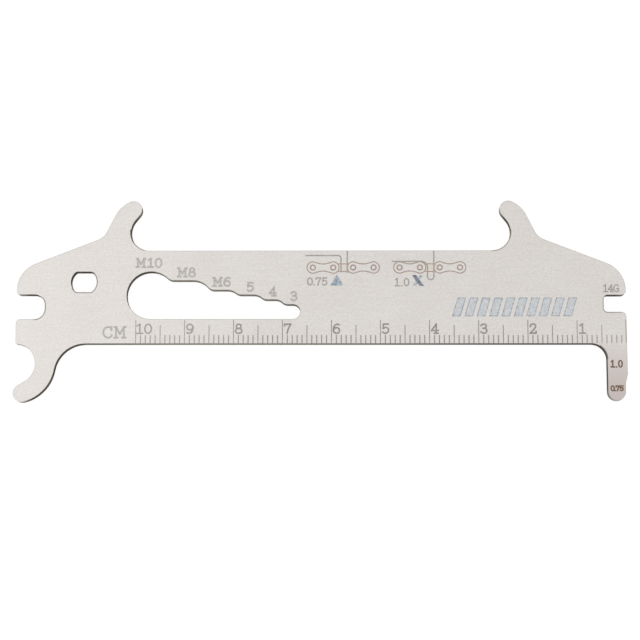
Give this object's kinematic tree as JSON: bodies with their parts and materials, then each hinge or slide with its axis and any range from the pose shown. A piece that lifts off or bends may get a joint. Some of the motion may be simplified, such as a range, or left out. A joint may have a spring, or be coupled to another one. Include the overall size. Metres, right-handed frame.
{
  "type": "chain wear gauge",
  "caption": "Flat gauge plate for bicycle chains with upper hooks, a roller hook, a measuring leg, a stepped bolt window, end slots and a ruler edge.",
  "frame": {"origin": "centre of the bounding box, at the plate's underside", "axes": "+X along the beam towards the measuring leg, +Y from the ruler edge towards the upper hooks, +Z out of the marked face"},
  "size_m": [0.1248, 0.0418, 0.002],
  "materials": {
    "stainless": "satin stainless steel sheet, its cut edges dark with laser oxide"
  },
  "bodies": {
    "root": {"gauge_plate": "stainless"}
  },
  "joints": []
}
